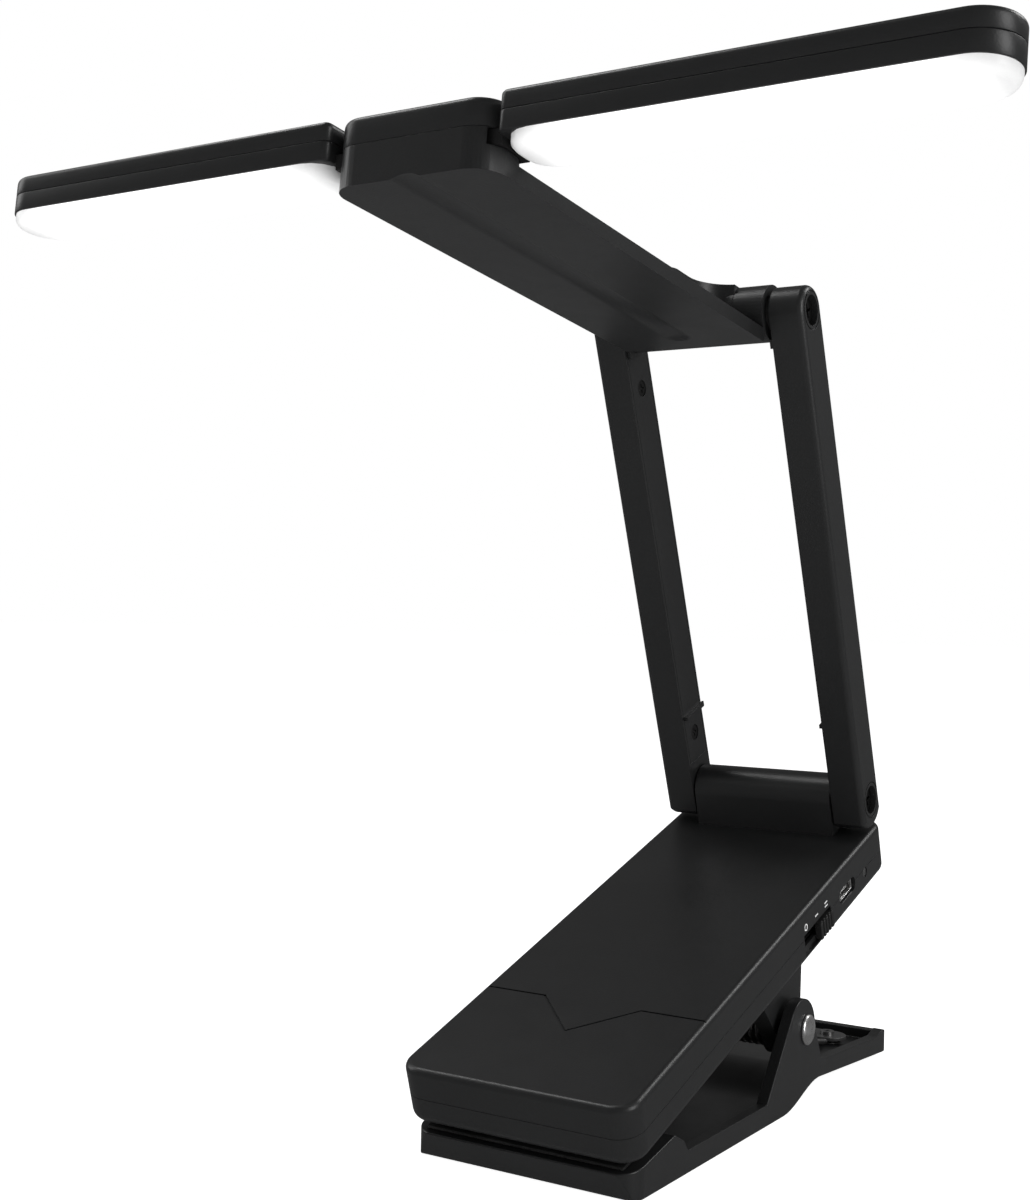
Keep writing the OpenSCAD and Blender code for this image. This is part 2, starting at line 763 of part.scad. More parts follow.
module bar_top_solid() {
    e = 1;
    difference() {
        union() {
            translate([0, 0, bar_mid_h]) linear_extrude(bar_top - e - bar_mid_h)
                bar_outline(0);
            translate([0, 0, bar_mid_h]) linear_extrude(bar_top - bar_mid_h) bar_outline(e);
        }
        translate([0, 0, bar_mid_h - cut]) linear_extrude(cut + 2) bar_outline(1.5);
    }
}

module bar_frame_solid() {
    difference() {
        translate([0, 0, bar_split]) linear_extrude(bar_mid_h - bar_split - gap) bar_outline(0);
        translate([0, 0, bar_split - cut]) linear_extrude(10) difference() {
            bar_outline(1.4);
            translate([bar_near, -pivot_s - 20]) square([9, 40]);
        }
        // seat of the swing tongue in the inner end
        translate([bar_near - cut, -pivot_s - 4.6, bar_split - cut]) cube([9, 9.2, cut + 1.6]);
        // pocket of the tongue's screw
        translate([bar_near + 4.6, -pivot_s, 7]) cylinder(r = 1.6, h = 4);
    }
}

module led_board_solid() {
    w = bar_w - 2.9;
    translate([bar_near + 9.6, -pivot_s - w / 2, 6.6])
        cube([bar_end - bar_near - 17, w, 0.8]);
}

module leds_solid() {
    count = 10;
    first = bar_near + 13;
    step = (bar_end - 12 - first) / (count - 1);
    for (i = [0:count - 1])
        translate([first + i * step - 1.4, -pivot_s - 1.1, 5.9]) cube([2.8, 2.2, 0.7]);
}

module diffuser_solid() {
    e = 1.2;
    difference() {
        union() {
            translate([0, 0, diffuser_low + e]) linear_extrude(bar_split - diffuser_low - e - 0.05)
                bar_outline(0.3);
            translate([0, 0, diffuser_low]) linear_extrude(2) bar_outline(0.3 + e);
        }
        translate([0, 0, diffuser_low + 0.9]) linear_extrude(10) difference() {
            bar_outline(2.2);
            translate([bar_near, -pivot_s - 20]) square([9.4, 40]);
        }
    }
}

module tongue_solid() {
    difference() {
        union() {
            translate([pivot_x, -pivot_s, 4.42]) cylinder(r = 5.2, h = 2.7);
            translate([pivot_x, -pivot_s - 4.4, 4.42]) cube([bar_near - pivot_x - 0.3, 8.8, 2.7]);
            translate([pivot_x, -pivot_s - 4.4, bar_split + 0.05])
                cube([bar_near - pivot_x + 7.8, 8.8, 1.45]);
        }
        translate([pivot_x, -pivot_s, 0]) cylinder(r = 2.18 + fit, h = 20);
        translate([bar_near + 4.6, -pivot_s, 0]) cylinder(r = 0.9, h = 20);
    }
}

module tongue_screw_solid() {
    translate([bar_near + 4.6, -pivot_s, 8.2]) screw(0.88, 1.6, 1.5, 0.9);
}

module bar_node(flip) {
    neck_frame() mirrored_if(flip) children();
}

module left_bar_top() { color(PLASTIC) bar_node(true) bar_top_solid(); }
module left_bar_frame() { color(PLASTIC) bar_node(true) bar_frame_solid(); }
module left_led_board() { color(WHITE) bar_node(true) led_board_solid(); }
module left_leds() { color([1, 0.95, 0.7]) bar_node(true) leds_solid(); }
module left_diffuser() { color(WHITE) bar_node(true) diffuser_solid(); }
module left_swing_tongue() { color(DARK) bar_node(true) tongue_solid(); }
module left_tongue_screw() { color(STEEL) bar_node(true) tongue_screw_solid(); }
module right_bar_top() { color(PLASTIC) bar_node(false) bar_top_solid(); }
module right_bar_frame() { color(PLASTIC) bar_node(false) bar_frame_solid(); }
module right_led_board() { color(WHITE) bar_node(false) led_board_solid(); }
module right_leds() { color([1, 0.95, 0.7]) bar_node(false) leds_solid(); }
module right_diffuser() { color(WHITE) bar_node(false) diffuser_solid(); }
module right_swing_tongue() { color(DARK) bar_node(false) tongue_solid(); }
module right_tongue_screw() { color(STEEL) bar_node(false) tongue_screw_solid(); }

clip_jaw();
jaw_pad();
clip_pin();
clip_spring();
spring_retainer();
retainer_screws();
base_top_shell();
base_bottom_shell();
base_pad();
base_screws();
battery();
circuit_board();
usb_socket();
switch_body();
charge_light();
switch_knob();
left_arm();
right_arm();
left_arm_cover();
right_arm_cover();
arm_cover_screws();
lower_axle();
upper_axle();
axle_screws();
hinge_washers();
neck_shell();
hinge_cover();
hinge_cover_screws();
head_cover();
head_screws();
bar_pivots();
left_bar_top();
left_bar_frame();
left_led_board();
left_leds();
left_diffuser();
left_swing_tongue();
left_tongue_screw();
right_bar_top();
right_bar_frame();
right_led_board();
right_leds();
right_diffuser();
right_swing_tongue();
right_tongue_screw();
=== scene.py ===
"""Looks of a clip-on reading lamp: satin black mouldings, opal light bars, steel pin and springs.

Everything is placed in metres in the lamp's frame: X along the light bars, Y from the jaw's nose
to its handle, Z up. The sizes of pieces are written in millimetres and are multiplied by MM.
"""
import json
import math

import bmesh
import bpy
from mathutils import Matrix, Vector


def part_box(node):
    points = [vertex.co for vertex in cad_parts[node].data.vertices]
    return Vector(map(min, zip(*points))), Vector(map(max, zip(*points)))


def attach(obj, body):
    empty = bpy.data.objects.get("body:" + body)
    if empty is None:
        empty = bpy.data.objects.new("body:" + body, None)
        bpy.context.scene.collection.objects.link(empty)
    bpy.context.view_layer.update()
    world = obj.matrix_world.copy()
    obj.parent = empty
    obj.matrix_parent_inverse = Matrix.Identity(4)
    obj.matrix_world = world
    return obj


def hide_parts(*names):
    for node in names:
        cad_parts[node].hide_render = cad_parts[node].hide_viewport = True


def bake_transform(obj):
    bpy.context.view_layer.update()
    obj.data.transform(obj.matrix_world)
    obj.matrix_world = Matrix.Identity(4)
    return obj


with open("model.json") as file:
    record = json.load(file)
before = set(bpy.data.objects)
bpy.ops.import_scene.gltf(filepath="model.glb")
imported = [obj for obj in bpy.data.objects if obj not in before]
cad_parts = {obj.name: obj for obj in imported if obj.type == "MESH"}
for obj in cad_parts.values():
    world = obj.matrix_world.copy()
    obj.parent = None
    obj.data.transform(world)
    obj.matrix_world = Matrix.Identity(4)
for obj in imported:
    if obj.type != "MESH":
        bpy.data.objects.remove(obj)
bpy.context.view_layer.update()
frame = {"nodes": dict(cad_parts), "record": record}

MM = 0.001
BODY_OF = {node: body for body, nodes in frame["record"]["behaviour"]["bodies"].items()
           for node in nodes}
SLOT_OF = {part["node"]: part["material_slot"] for part in frame["record"]["subparts"]}
JOINTS = {joint["name"]: joint for joint in frame["record"]["behaviour"]["joints"]}
RIGHT = Vector((1, 0, 0))
UP = Vector((0, 0, 1))


# ---- node helpers ------------------------------------------------------------------------------

def add_node(tree, kind, **values):
    """A shader node with its inputs or properties set by name."""
    node = tree.nodes.new(kind)
    for key, value in values.items():
        name = key.replace("_", " ")
        if name in node.inputs:
            node.inputs[name].default_value = value
        else:
            setattr(node, key, value)
    return node


def grey(value, tint=0.0):
    """A near-neutral colour, a little blue for a positive tint."""
    return (value * (1 - tint), value, value * (1 + tint), 1)


def noise(tree, coords, scale, detail=3.0, roughness=0.55):
    """Noise with about this many features to one unit of the coordinates."""
    node = add_node(tree, "ShaderNodeTexNoise", Scale=scale, Detail=detail, Roughness=roughness)
    tree.links.new(coords, node.inputs["Vector"])
    return node.outputs["Fac"]


def remap(tree, factor, low, high, start=0.3, end=0.7):
    """Spreads a factor between start and end over the values from low to high."""
    node = add_node(tree, "ShaderNodeMapRange")
    node.inputs["From Min"].default_value = start
    node.inputs["From Max"].default_value = end
    node.inputs["To Min"].default_value = low
    node.inputs["To Max"].default_value = high
    tree.links.new(factor, node.inputs["Value"])
    return node.outputs["Result"]


def ramp(tree, factor, stops):
    """A colour ramp through (place, colour) stops."""
    node = tree.nodes.new("ShaderNodeValToRGB")
    elements = node.color_ramp.elements
    while len(elements) < len(stops):
        elements.new(0.5)
    for element, (place, colour) in zip(elements, stops):
        element.position = place
        element.color = colour
    tree.links.new(factor, node.inputs["Fac"])
    return node.outputs["Color"]


def bump(tree, height, strength, distance):
    """Relief of this depth in metres."""
    node = add_node(tree, "ShaderNodeBump", Strength=strength, Distance=distance)
    tree.links.new(height, node.inputs["Height"])
    return node.outputs["Normal"]


def start_material(name):
    """A new material: its tree, its Principled shader and the object's own coordinates."""
    material = bpy.data.materials.new(name)
    material.use_nodes = True
    tree = material.node_tree
    shader = tree.nodes["Principled BSDF"]
    coords = tree.nodes.new("ShaderNodeTexCoord").outputs["Object"]
    return material, tree, shader, coords


# ---- materials ---------------------------------------------------------------------------------

def moulded(name, dark, light, rough, grain=0.35, speck=2600, metallic=0.0):
    """Moulded plastic or paint: faint tone and gloss changes and a fine spark-eroded grain."""
    material, tree, shader, coords = start_material(name)
    cloud = noise(tree, coords, 45, 4)
    grains = noise(tree, coords, speck, 2, 0.6)
    tone = ramp(tree, cloud, [(0.3, dark), (0.7, light)])
    mix = add_node(tree, "ShaderNodeMix", data_type="RGBA", blend_type="MULTIPLY")
    mix.inputs["Factor"].default_value = 0.3
    tree.links.new(tone, mix.inputs["A"])
    tree.links.new(ramp(tree, grains, [(0.3, grey(0.72)), (0.7, grey(1.0))]), mix.inputs["B"])
    tree.links.new(mix.outputs["Result"], shader.inputs["Base Color"])
    patchy = noise(tree, coords, 160, 3)
    tree.links.new(remap(tree, patchy, rough - 0.02, rough + 0.02), shader.inputs["Roughness"])
    tree.links.new(bump(tree, grains, grain, 0.00006), shader.inputs["Normal"])
    shader.inputs["Metallic"].default_value = metallic
    shader.inputs["Specular IOR Level"].default_value = 0.42
    return material


def rubber(name):
    """Matt black rubber with a cellular grain and a little dust."""
    material, tree, shader, coords = start_material(name)
    cells = add_node(tree, "ShaderNodeTexVoronoi", Scale=1400)
    tree.links.new(coords, cells.inputs["Vector"])
    dust = noise(tree, coords, 120, 5)
    tree.links.new(ramp(tree, dust, [(0.35, grey(0.012)), (0.75, grey(0.03))]),
                   shader.inputs["Base Color"])
    tree.links.new(remap(tree, dust, 0.75, 0.92), shader.inputs["Roughness"])
    tree.links.new(bump(tree, cells.outputs["Distance"], 0.4, 0.0001), shader.inputs["Normal"])
    shader.inputs["Specular IOR Level"].default_value = 0.3
    return material


def metal(name, tone, rough, brushed=0.0):
    """Plated or drawn metal: tone and gloss vary, with fine lines across if it is brushed."""
    material, tree, shader, coords = start_material(name)
    stretch = add_node(tree, "ShaderNodeMapping", Scale=(1, 14, 14) if brushed else (1, 1, 1))
    tree.links.new(coords, stretch.inputs["Vector"])
    lines = noise(tree, stretch.outputs["Vector"], 420, 4, 0.7)
    stain = noise(tree, coords, 210, 5)
    tree.links.new(ramp(tree, stain, [(0.3, grey(tone * 0.8, -0.02)), (0.65, grey(tone))]),
                   shader.inputs["Base Color"])
    tree.links.new(remap(tree, lines, rough * 0.7, rough * 1.4), shader.inputs["Roughness"])
    tree.links.new(bump(tree, lines, 0.1 + brushed, 0.00003), shader.inputs["Normal"])
    shader.inputs["Metallic"].default_value = 1.0
    return material


def opal(name):
    """The lit diffuser: opal plastic that glows, with painted shade that dims the glow towards its
    two rounded ends.
    """
    material, tree, shader, _ = start_material(name)
    box_coords = tree.nodes.new("ShaderNodeTexCoord").outputs["Generated"]
    along = tree.nodes.new("ShaderNodeSeparateXYZ")
    tree.links.new(box_coords, along.inputs["Vector"])
    towards_end = add_node(tree, "ShaderNodeMath", operation="PINGPONG")
    towards_end.inputs[1].default_value = 0.5
    tree.links.new(along.outputs["X"], towards_end.inputs[0])
    # Painted shade: the glow falls nearly to black at each end of the bar, standing in for the
    # shading of the rounded ends
    glow_with_painted_end_shade = ramp(tree, towards_end.outputs["Value"],
                [(0.0, grey(0.02)), (0.03, grey(0.14)), (0.08, grey(0.42)),
                 (0.15, grey(1.0))])
    specks = noise(tree, box_coords, 90, 4)
    tree.links.new(ramp(tree, specks, [(0.3, grey(0.6)), (0.7, grey(0.66))]),
                   shader.inputs["Base Color"])
    tree.links.new(remap(tree, specks, 0.3, 0.42), shader.inputs["Roughness"])
    tree.links.new(glow_with_painted_end_shade, shader.inputs["Emission Color"])
    shader.inputs["Emission Strength"].default_value = 1.15
    shader.inputs["Specular IOR Level"].default_value = 0.4
    return material


def circuit(name, dark, light):
    """A coated board: solder mask in the first colour over faint tracks in the second."""
    material, tree, shader, coords = start_material(name)
    tracks = add_node(tree, "ShaderNodeTexBrick", Scale=260)
    tracks.inputs["Color1"].default_value = dark
    tracks.inputs["Color2"].default_value = dark
    tracks.inputs["Mortar"].default_value = light
    tree.links.new(coords, tracks.inputs["Vector"])
    tree.links.new(tracks.outputs["Color"], shader.inputs["Base Color"])
    tree.links.new(remap(tree, noise(tree, coords, 300), 0.25, 0.4), shader.inputs["Roughness"])
    tree.links.new(bump(tree, tracks.outputs["Fac"], 0.2, 0.00005), shader.inputs["Normal"])
    return material


def foil(name):
    """Creased metal foil round the battery."""
    material, tree, shader, coords = start_material(name)
    crease = noise(tree, coords, 130, 6, 0.7)
    tree.links.new(ramp(tree, crease, [(0.3, grey(0.45)), (0.7, grey(0.62, 0.02))]),
                   shader.inputs["Base Color"])
    tree.links.new(remap(tree, crease, 0.25, 0.45), shader.inputs["Roughness"])
    tree.links.new(bump(tree, crease, 0.5, 0.0003), shader.inputs["Normal"])
    shader.inputs["Metallic"].default_value = 0.9
    return material


def painted_mark(name):
    """White printing, a little worn."""
    material, tree, shader, coords = start_material(name)
    wear = noise(tree, coords, 2200, 4)
    tree.links.new(ramp(tree, wear, [(0.3, grey(0.55)), (0.6, grey(0.8))]),
                   shader.inputs["Base Color"])
    tree.links.new(remap(tree, wear, 0.4, 0.6), shader.inputs["Roughness"])
    return material


def phosphor(name):
    """The yellow phosphor of an LED."""
    material, tree, shader, coords = start_material(name)
    cells = noise(tree, coords, 900, 3)
    tree.links.new(ramp(tree, cells, [(0.3, (0.75, 0.55, 0.1, 1)), (0.7, (0.95, 0.8, 0.3, 1))]),
                   shader.inputs["Base Color"])
    tree.links.new(remap(tree, cells, 0.2, 0.35), shader.inputs["Roughness"])
    return material


FINISHES = {
    "black_plastic": (moulded, {"dark": grey(0.0135, 0.02), "light": grey(0.0155, 0.02),
                                "rough": 0.36}),
    "dark_plastic": (moulded, {"dark": grey(0.0085), "light": grey(0.0115), "rough": 0.5,
                               "grain": 0.45}),
    "pad_rubber": (rubber, {}),
    "bright_steel": (metal, {"tone": 0.9, "rough": 0.3}),
    "plain_steel": (metal, {"tone": 0.34, "rough": 0.3, "brushed": 0.12}),
    "black_screw": (moulded, {"dark": grey(0.02), "light": grey(0.035), "rough": 0.33,
                              "grain": 0.3, "speck": 3500, "metallic": 0.9}),
    "retainer_grey": (moulded, {"dark": grey(0.11), "light": grey(0.16), "rough": 0.4,
                                "grain": 0.3, "speck": 2000, "metallic": 0.6}),
    "diffuser_white": (opal, {}),
    "board_white": (circuit, {"dark": grey(0.75), "light": grey(0.6)}),
    "board_green": (circuit, {"dark": (0.01, 0.09, 0.03, 1), "light": (0.03, 0.2, 0.07, 1)}),
    "led_yellow": (phosphor, {}),
    "battery_foil": (foil, {}),
    "lens_smoke": (moulded, {"dark": grey(0.03), "light": grey(0.05), "rough": 0.2,
                             "grain": 0.1}),
}
MATERIALS = {slot: make(slot, **settings) for slot, (make, settings) in FINISHES.items()}
MARK_WHITE = painted_mark("mark_white")


# ---- mesh helpers ------------------------------------------------------------------------------

def finish_piece(piece, body, slot, material=None):
    """Gives a piece its material, material slot and body."""
    piece.data.materials.clear()
    piece.data.materials.append(material or MATERIALS[slot])
    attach(piece, body)
    return piece


def make_object(name, data):
    """A scene object that holds a mesh, curve, light or camera."""
    piece = bpy.data.objects.new(name, data)
    bpy.context.scene.collection.objects.link(piece)
    return piece


def shade_smooth(mesh):
    """Smooth shading on every face."""
    mesh.polygons.foreach_set("use_smooth", [True] * len(mesh.polygons))


def from_bmesh(name, shape, smooth_angle=35):
    """An object from a bmesh, smooth except over edges sharper than an angle in degrees."""
    mesh = bpy.data.meshes.new(name)
    shape.to_mesh(mesh)
    shape.free()
    shade_smooth(mesh)
    mesh.set_sharp_from_angle(angle=math.radians(smooth_angle))
    return make_object(name, mesh)


def from_skin(name, shape, smooth_angle=35):
    """An object from a bmesh whose faces are first turned to face outwards."""
    bmesh.ops.recalc_face_normals(shape, faces=shape.faces)
    return from_bmesh(name, shape, smooth_angle)


def apply_modifiers(piece):
    """Turns a piece's modifiers into its mesh."""
    evaluated = piece.evaluated_get(bpy.context.evaluated_depsgraph_get())
    mesh = bpy.data.meshes.new_from_object(evaluated)
    old = piece.data
    piece.modifiers.clear()
    piece.data = mesh
    bpy.data.meshes.remove(old)


def rounded(node, width, clamp=True):
    """A moulding with its sharp edges rounded, which stands for the CAD node of the same shape."""
    same_point = 0.002 * MM
    same_plane = math.radians(0.4)
    shape = bmesh.new()
    shape.from_mesh(frame["nodes"][node].data)
    bmesh.ops.remove_doubles(shape, verts=shape.verts, dist=same_point)
    bmesh.ops.dissolve_limit(shape, angle_limit=same_plane, verts=shape.verts,
                             edges=shape.edges, delimit=set())
    piece = from_skin(node + "_moulding", shape)
    bevel = piece.modifiers.new("edges", "BEVEL")
    bevel.width = width * MM
    bevel.segments = 3
    bevel.limit_method = "ANGLE"
    bevel.angle_limit = math.radians(32)
    bevel.miter_outer = "MITER_ARC"
    bevel.use_clamp_overlap = clamp
    weights = piece.modifiers.new("flat_faces", "WEIGHTED_NORMAL")
    weights.keep_sharp = True
    weights.weight = 80
    apply_modifiers(piece)
    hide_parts(node)
    return finish_piece(piece, BODY_OF[node], SLOT_OF[node])


def ring_points(outline, place):
    """An outline moved to its place."""
    return [place @ Vector(point) for point in outline]


def loft(name, rings, smooth_angle=40, closed_ends=True):
    """A skin over a stack of rings that have the same number of points."""
    shape = bmesh.new()
    loops = [[shape.verts.new(point) for point in ring] for ring in rings]
    count = len(loops[0])
    for lower, upper in zip(loops, loops[1:]):
        for i in range(count):
            j = (i + 1) % count
            shape.faces.new((lower[i], lower[j], upper[j], upper[i]))
    if closed_ends:
        shape.faces.new(loops[0][::-1])
        shape.faces.new(loops[-1])
    return from_skin(name, shape, smooth_angle)


def circle(radius, height, steps=48):
    """Points round the local Z axis."""
    return [(radius * math.cos(2 * math.pi * i / steps),
             radius * math.sin(2 * math.pi * i / steps), height) for i in range(steps)]


def lathe(name, profile, place):
    """A turned piece: profile is (radius, height) in millimetres along the place's Z axis."""
    rings = [ring_points(circle(r * MM, h * MM), place) for r, h in profile]
    return loft(name, rings, 30)


def local_frame(x, y, z, origin):
    """A place with these three axes and this origin."""
    return Matrix.Translation(Vector(origin)) @ Matrix((x, y, z)).transposed().to_4x4()


def facing(direction, point):
    """A place at a point, with its Z axis along a level direction and its Y axis up."""
    z = Vector(direction).normalized()
    x = UP.cross(z).normalized()
    return local_frame(x, z.cross(x), z, point)


def joined(name, pieces):
    """Several meshes as one piece."""
    shape = bmesh.new()
    for piece in pieces:
        shape.from_mesh(piece.data)
        bpy.data.objects.remove(piece)
    return from_bmesh(name, shape)


# ---- camera and light --------------------------------------------------------------------------

def make_camera():
    """The camera, in front of the lamp and to its right, at about half its height."""
    data = bpy.data.cameras.new("camera")
    data.sensor_width = 36
    data.sensor_fit = "AUTO"
    data.lens = 50.74
    data.shift_x = 0.0261
    data.shift_y = 0.0141
    data.clip_start = 0.01
    data.clip_end = 20
    camera = make_object("camera", data)
    camera.location = (0.16496, -0.30309, 0.10439)
    camera.rotation_euler = [math.radians(a) for a in (90.026, -1.19, 33.123)]
    bpy.context.scene.camera = camera


def softbox(name, location, width, height, power):
    """A rectangular light that faces the middle of the lamp."""
    middle = Vector((0, 0, 0.1))
    data = bpy.data.lights.new(name, "AREA")
    data.shape = "RECTANGLE"
    data.size = width
    data.size_y = height
    data.energy = power
    light = make_object(name, data)
    light.location = location
    light.rotation_euler = (middle - Vector(location)).to_track_quat("-Z", "Y").to_euler()


def make_stage():
    """A plain pale floor that glows almost to white and stays out of reflections."""
    half, gap = 9.0, 0.0001
    shape = bmesh.new()
    corners = [shape.verts.new((x * half, y * half, -gap))
               for x, y in ((-1, -1), (1, -1), (1, 1), (-1, 1))]
    shape.faces.new(corners)
    floor = from_skin("floor", shape)
    material, tree, shader, coords = start_material("floor_pale")
    cloud = noise(tree, coords, 3, 2)
    tree.links.new(ramp(tree, cloud, [(0.3, grey(0.8)), (0.7, grey(0.84))]),
                   shader.inputs["Base Color"])
    shader.inputs["Roughness"].default_value = 0.9
    shader.inputs["Emission Color"].default_value = (1, 1, 1, 1)
    shader.inputs["Emission Strength"].default_value = 0.9
    floor.data.materials.append(material)
    floor.visible_glossy = False


def make_light():
    """Softboxes on a white ground: the world is white to the camera and dim to the lamp."""
    softbox("right_softbox", (0.95, -0.15, 0.35), width=0.4, height=0.7, power=4.2)
    softbox("left_softbox", (-0.9, -0.2, 0.55), width=0.4, height=0.7, power=2.2)
    softbox("rear_softbox", (0.65, 0.85, 1.0), width=0.45, height=0.45, power=4.5)
    softbox("overhead_softbox", (-0.5, 0.0, 0.95), width=0.3, height=0.3, power=2)
    world = bpy.data.worlds.new("studio")
    bpy.context.scene.world = world
    world.use_nodes = True
    tree = world.node_tree
    seen = tree.nodes["Background"]
    seen.inputs["Color"].default_value = (1, 1, 1, 1)
    seen.inputs["Strength"].default_value = 1.0
    fill = add_node(tree, "ShaderNodeBackground", Color=(1, 1, 1, 1), Strength=0.13)
    mix = tree.nodes.new("ShaderNodeMixShader")
    is_camera = tree.nodes.new("ShaderNodeLightPath").outputs["Is Camera Ray"]
    tree.links.new(is_camera, mix.inputs["Fac"])
    tree.links.new(fill.outputs["Background"], mix.inputs[1])
    tree.links.new(seen.outputs["Background"], mix.inputs[2])
    tree.links.new(mix.outputs["Shader"], tree.nodes["World Output"].inputs["Surface"])
    bpy.context.scene.view_settings.view_transform = "Standard"


make_camera()
make_stage()
make_light()


# ---- mouldings ---------------------------------------------------------------------------------

# Radius of each moulding's rounded edges, in millimetres
EDGE_ROUNDING = {
    "jaw_pad": 0.3, "base_pad": 0.25,
    "base_top_shell": 0.2, "base_bottom_shell": 0.2, "switch_knob": 0.18, "usb_socket": 0.08,
    "spring_retainer": 0.2,
    "left_arm": 0.3, "right_arm": 0.3, "left_arm_cover": 0.12, "right_arm_cover": 0.12,
    "neck_shell": 0.3, "hinge_cover": 0.4,
    "left_swing_tongue": 0.7, "right_swing_tongue": 0.7,
}
for moulding, radius in EDGE_ROUNDING.items():
    rounded(moulding, radius)
# The jaw's shortest edges would limit a clamped rounding, and a wider one spikes at its handle
rounded("clip_jaw", 0.25, clamp=False)


# ---- rivet and springs -------------------------------------------------------------------------

PIN = Vector(JOINTS["clip_jaw_squeeze"]["pos_m"])
PIN_RADIUS = 2.2
HEAD_RADIUS = 3.3
HEAD_RISE = 1.2


def make_rivet():
    """The clip's pin, with a domed head on each side of the jaw."""
    low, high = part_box("clip_pin")
    half = (high[0] - low[0]) / 2 / MM
    seat = half - HEAD_RISE
    rim, chamfer, tip_radius, under_seat = 0.3, 0.12, 0.02, 0.02
    angles = [math.pi / 2 * i / 10 for i in range(10)]
    dome = [(HEAD_RADIUS * math.cos(t), seat + rim + (HEAD_RISE - rim) * math.sin(t))
            for t in angles]
    side = [(PIN_RADIUS, seat - under_seat), (HEAD_RADIUS - chamfer, seat),
            (HEAD_RADIUS, seat + chamfer)] + dome + [(tip_radius, half)]
    profile = [(r, -h) for r, h in side[::-1]] + side
    rivet = lathe("domed_rivet", profile, facing(RIGHT, PIN))
    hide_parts("clip_pin")
    finish_piece(rivet, BODY_OF["clip_pin"], "bright_steel")


def wire_mesh(name, points, radius):
    """The mesh of a round wire along points in metres."""
    curve = bpy.data.curves.new(name, "CURVE")
    curve.dimensions = "3D"
    curve.bevel_depth = radius
    curve.bevel_resolution = 3
    curve.use_fill_caps = True
    spline = curve.splines.new("POLY")
    spline.points.add(len(points) - 1)
    for place, point in zip(spline.points, points):
        place.co = (*point, 1)
    wire = make_object(name + "_wire", curve)
    mesh = bpy.data.meshes.new_from_object(
        wire.evaluated_get(bpy.context.evaluated_depsgraph_get()))
    bpy.data.objects.remove(wire)
    shade_smooth(mesh)
    return mesh


def make_spring(side, name):
    """One torsion spring: a leg up to the base, the coil, and a leg along the handle's floor."""
    coil_radius, wire_radius = 4.2, 0.68
    turns, steps_per_turn = 5, 28
    first_x, last_x = 8.0, 14.8
    upper_end = (18.3, 21.0)
    lower_end = (34.4, -10.9)

    def tangent_angle(end, sign):
        """Where the straight leg to this end leaves the coil."""
        reach = math.hypot(*end)
        return math.atan2(end[1], end[0]) + sign * math.acos(coil_radius / reach)

    def from_pin(x, y, z):
        """A point beside the middle of the pin, mirrored for the left spring."""
        return PIN + Vector((side * x, y, z)) * MM

    start = tangent_angle(upper_end, 1)
    sweep = tangent_angle(lower_end, -1) - start + 2 * math.pi * turns
    points = [from_pin(first_x, *upper_end)]
    count = turns * steps_per_turn
    for i in range(count + 1):
        t = i / count
        angle = start + sweep * t
        points.append(from_pin(first_x + (last_x - first_x) * t,
                               coil_radius * math.cos(angle), coil_radius * math.sin(angle)))
    points.append(from_pin(last_x, *lower_end))
    spring = make_object(name, wire_mesh(name, points, wire_radius * MM))
    spring.data.materials.append(MATERIALS["plain_steel"])
    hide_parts("clip_spring")
    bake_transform(spring)


make_rivet()
make_spring(1, "right_torsion_spring")
make_spring(-1, "left_torsion_spring")


# ---- light bars and head -----------------------------------------------------------------------

BAR_PIVOT = JOINTS["right_bar_swing"]["pos_m"]
BAR_UP = Vector(JOINTS["right_bar_swing"]["axis"]).normalized()
PIVOT_X = BAR_PIVOT[0] / MM
BAR_HALF_WIDTH = 7.0


def bar_place(x):
    """Local frame on the line of the bars' pivots: X outwards from the lamp, Y back, Z up."""
    side = -1 if x < 0 else 1
    return local_frame(RIGHT * side, BAR_UP.cross(RIGHT), BAR_UP, (x, *BAR_PIVOT[1:]))


def bar_reach(node):
    """Where a node of a light bar starts and ends, from the bar's pivot."""
    low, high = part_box(node)
    near, far = sorted((abs(low[0]), abs(high[0])))
    return near / MM - PIVOT_X, far / MM - PIVOT_X


def bar_ring(inset, height, near, far, half_width, corner=1.5, steps=14):
    """Outline of a bar, inset from its edge: square inner end and round outer end."""
    half = half_width - inset
    near_x = near + inset
    far_x = far - half_width
    corner = max(corner - inset, 0.3)
    points = []
    for i in range(2 * steps + 1):
        angle = -math.pi / 2 + math.pi * i / (2 * steps)
        points.append((far_x + half * math.cos(angle), half * math.sin(angle)))
    for centre_y, first in ((half - corner, 90), (-half + corner, 180)):
        for i in range(5):
            angle = math.radians(first + 90 * i / 4)
            points.append((near_x + corner + corner * math.cos(angle),
                           centre_y + corner * math.sin(angle)))
    return [(x * MM, y * MM, height * MM) for x, y in points]


def node_extent(node):
    """Lowest and highest place of a CAD node, square to the bars, from their pivots' height."""
    origin = Vector(BAR_PIVOT)
    heights = [(frame["nodes"][node].matrix_world @ v.co - origin).dot(BAR_UP) / MM
               for v in frame["nodes"][node].data.vertices]
    return min(heights), max(heights)


def round_edge(radius, steps=8):
    """(inset, fall) pairs round a quarter circle, from a wall to the face at its end."""
    angles = [math.pi / 2 * i / steps for i in range(1, steps + 1)]
    return [(radius * (1 - math.cos(t)), radius * (1 - math.sin(t))) for t in angles]


def soft_profile(low, high, radius):
    """(inset, height) pairs up a wall whose upper edge is rounded and whose lower edge is crisp."""
    edge, rim = 0.06, 1.6
    wall = [(rim, low), (edge, low), (0.0, low + edge), (0.0, high - radius)]
    return wall + [(inset, high - fall) for inset, fall in round_edge(radius)]


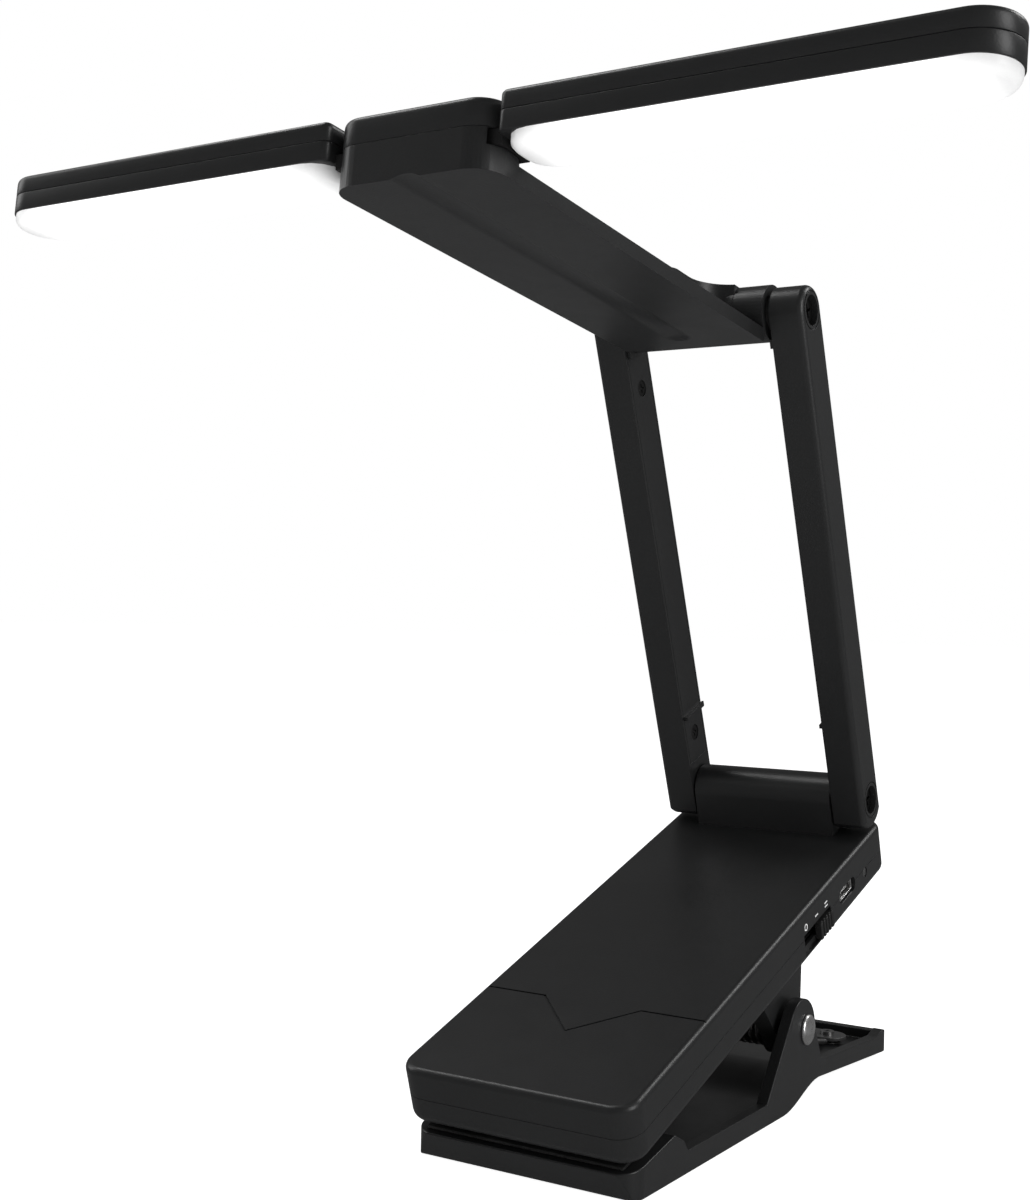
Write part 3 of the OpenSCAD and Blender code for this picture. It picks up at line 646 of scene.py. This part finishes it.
def make_housing(side, prefix):
    """A bar's two black mouldings: a rounded lid over a straight frame, with a parting line."""
    place = bar_place(side * BAR_PIVOT[0])
    for part, radius in (("bar_top", 1.1), ("bar_frame", 0.15)):
        node = f"{prefix}_{part}"
        near, far = bar_reach(node)
        rings = [ring_points(bar_ring(inset, height, near, far, BAR_HALF_WIDTH), place)
                 for inset, height in soft_profile(*node_extent(node), radius)]
        housing = loft(f"{node}_housing", rings, 50)
        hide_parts(node)
        finish_piece(housing, BODY_OF[node], SLOT_OF[node])


def head_ring(inset, height):
    """Outline of the head, inset from its edge, about the middle of the line of the pivots."""
    half = 16.5
    front, front_corner = 7.0, 5.5
    points = []
    for centre_x, centre_y, radius, first in (
            (half - front_corner, front_corner - front, front_corner - inset, -90),
            (PIVOT_X, 0.0, half - PIVOT_X - inset, 0),
            (-PIVOT_X, 0.0, half - PIVOT_X - inset, 90),
            (front_corner - half, front_corner - front, front_corner - inset, 180)):
        for i in range(11):
            angle = math.radians(first + 9 * i)
            points.append((centre_x + radius * math.cos(angle),
                           centre_y + radius * math.sin(angle)))
    return [(x * MM, y * MM, height * MM) for x, y in points]


def make_head_lid():
    """The head's lid, with a rounded upper edge and a well for its screw."""
    edge_radius, well_radius, well_depth = 1.3, 1.8, 1.6
    low, high = node_extent("head_cover")
    place = bar_place(0)
    rings = [ring_points(head_ring(inset, height), place)
             for inset, height in soft_profile(low, high, edge_radius)]
    well = [Vector((x, y, 0)).normalized() * well_radius * MM for x, y, _ in head_ring(0, 0)]
    for height in (high, high - well_depth):
        rings.append(ring_points([(p.x, p.y, height * MM) for p in well], place))
    lid = loft("head_lid", rings, 50)
    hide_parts("head_cover")
    finish_piece(lid, BODY_OF["head_cover"], SLOT_OF["head_cover"])


make_housing(1, "right")
make_housing(-1, "left")
make_head_lid()


def make_diffuser(side, node):
    """Opal cover with a soft lower edge, and a thin lip round its top."""
    near, far = bar_reach(node)
    half_width, end_corner = 6.7, 5.4
    top, foot, edge_radius = -0.15, -2.4, 1.7
    lip_width, recess_inset, recess_depth = 2.2, 2.4, 0.5
    profile = [(recess_inset, top - recess_depth), (lip_width, top), (0.0, top),
               (0.0, foot + edge_radius)]
    profile += [(inset, foot + fall) for inset, fall in round_edge(edge_radius)]
    place = bar_place(side * BAR_PIVOT[0])
    rings = [ring_points(bar_ring(inset, height, near, far, half_width, end_corner), place)
             for inset, height in profile]
    cover = loft(node + "_cover", rings, 50)
    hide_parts(node)
    finish_piece(cover, BODY_OF[node], "diffuser_white")


make_diffuser(1, "right_diffuser")
make_diffuser(-1, "left_diffuser")


# ---- switch marks ------------------------------------------------------------------------------

MARK_THICKNESS = 0.04


def base_place():
    """Local frame on the base's right side, on the knob: X to the rear, Y up and Z out."""
    along = Vector(JOINTS["switch_slide"]["axis"]).normalized()
    if along.y < 0:
        along = -along
    low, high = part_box("switch_knob")
    centre = (Vector(low) + Vector(high)) / 2
    side_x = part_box("base_top_shell")[1][0]
    return local_frame(along, RIGHT.cross(along), RIGHT, (side_x, centre.y, centre.z))


def make_stroke(name, place, x, y):
    """One level stroke about a point on the base's side."""
    half_length, half_width = 0.8, 0.15
    outline = [(x - half_length, y - half_width), (x + half_length, y - half_width),
               (x + half_length, y + half_width), (x - half_length, y + half_width)]
    rings = [ring_points([(a * MM, b * MM, height * MM) for a, b in outline], place)
             for height in (-MARK_THICKNESS, MARK_THICKNESS)]
    return loft(name, rings)


def make_ring(name, place, centre_x, centre_y):
    """A flat ring about a point on the base's side."""
    outer, inner = 0.8, 0.52
    rings = []
    for radius, height in ((outer, -MARK_THICKNESS), (outer, MARK_THICKNESS),
                           (inner, MARK_THICKNESS), (inner, -MARK_THICKNESS),
                           (outer, -MARK_THICKNESS)):
        rings.append(ring_points([((centre_x + x) * MM, (centre_y + y) * MM, z)
                                  for x, y, z in circle(radius, height * MM, 28)], place))
    return loft(name, rings, closed_ends=False)


def make_marks():
    """Off, low and high: a ring, one stroke and two strokes above the switch."""
    place = base_place()
    rise, line_gap = 4.25, 0.42
    off_x, low_x, high_x = -10.15, -4.05, 1.55
    marks = [make_ring("mark_ring", place, off_x, rise),
             make_stroke("mark_low", place, low_x, rise),
             make_stroke("mark_high_upper", place, high_x, rise + line_gap),
             make_stroke("mark_high_lower", place, high_x, rise - line_gap)]
    finish_piece(joined("switch_marks", marks), "base", "board_white", MARK_WHITE)


make_marks()


# ---- materials of the carried-over nodes -------------------------------------------------------

for node, piece in frame["nodes"].items():
    piece.data.materials.clear()
    piece.data.materials.append(MATERIALS[SLOT_OF[node]])
